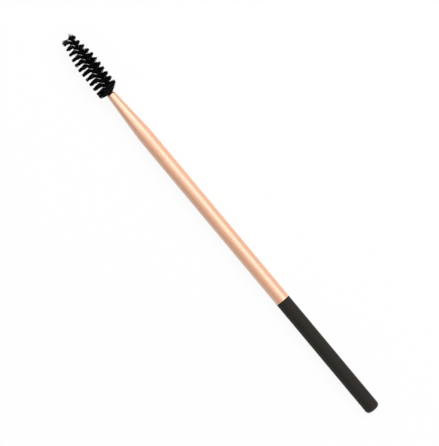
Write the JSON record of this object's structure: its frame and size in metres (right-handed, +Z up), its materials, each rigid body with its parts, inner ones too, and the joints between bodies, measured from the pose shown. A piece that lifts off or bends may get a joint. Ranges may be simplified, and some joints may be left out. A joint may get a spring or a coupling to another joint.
{
  "type": "eyebrow brush",
  "caption": "Slim round eyebrow brush with a black handle end, a long rose gold metal tube and a tapered spiral head of dark bristles held in twisted wire.",
  "frame": {"origin": "centre of the underside's box, on the surface that the brush lies on", "axes": "+X from the butt of the handle to the tip of the head, +Z up from the surface, and the head leans towards -Y"},
  "size_m": [0.1643, 0.008, 0.0078],
  "materials": {
    "rose_gold": "satin rose gold anodised",
    "black_lacquer": "matte black lacquer",
    "wire": "bright drawn wire",
    "bristle": "black nylon filament"
  },
  "bodies": {
    "root": {"ferrule": "rose_gold", "handle": "black_lacquer", "wire_core": "wire", "bristles": "bristle"}
  },
  "joints": []
}
